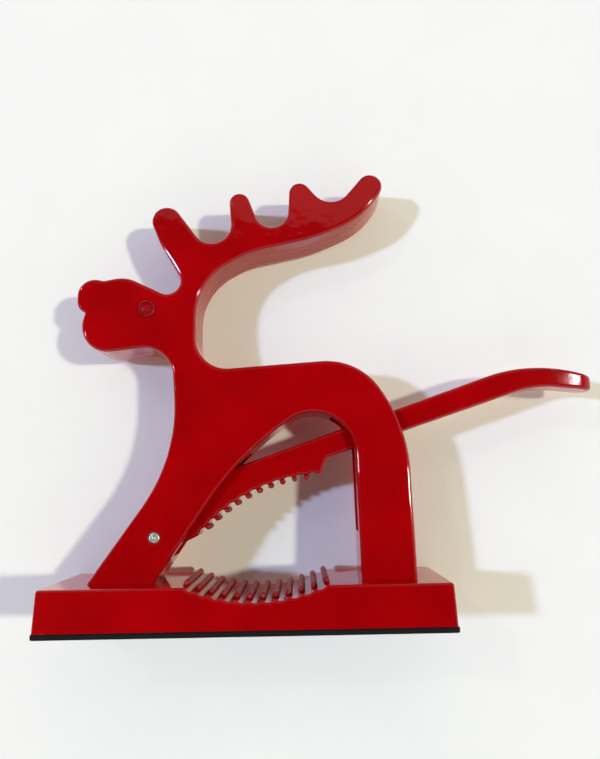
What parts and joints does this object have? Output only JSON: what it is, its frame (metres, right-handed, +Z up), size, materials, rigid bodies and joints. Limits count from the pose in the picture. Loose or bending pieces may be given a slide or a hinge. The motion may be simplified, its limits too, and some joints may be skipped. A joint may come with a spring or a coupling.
{
  "type": "lever nutcracker",
  "caption": "Tabletop lever nutcracker: a flat cast moose on a weighted block, with a toothed lever through its legs that presses nuts into a toothed hollow.",
  "frame": {"origin": "centre of the pad's underside, on the surface the nutcracker stands on", "axes": "+Z up; +X along the block from the moose's nose to its tail (the lever handle); +Y across the block, along the lever's pin"},
  "size_m": [0.2109, 0.0444, 0.1769],
  "materials": {
    "red_enamel": "gloss",
    "pin_steel": "polished",
    "screw_steel": "zinc plated",
    "foot_rubber": "matte"
  },
  "bodies": {
    "frame": {"base_casting": "red_enamel", "base_pad": "foot_rubber", "moose_body": "red_enamel", "pivot_pin": "pin_steel", "front_foot_screw": "screw_steel", "rear_foot_screw": "screw_steel", "front_foot_washer": "screw_steel", "rear_foot_washer": "screw_steel"},
    "lever": {"crushing_lever": "red_enamel"}
  },
  "joints": [
    {"name": "lever_pivot", "type": "hinge", "parent": "frame", "child": "lever", "pos_m": [-0.0346, 0, 0.0325], "axis": [0, 1, 0], "range_deg": [-4, 21.5]}
  ]
}
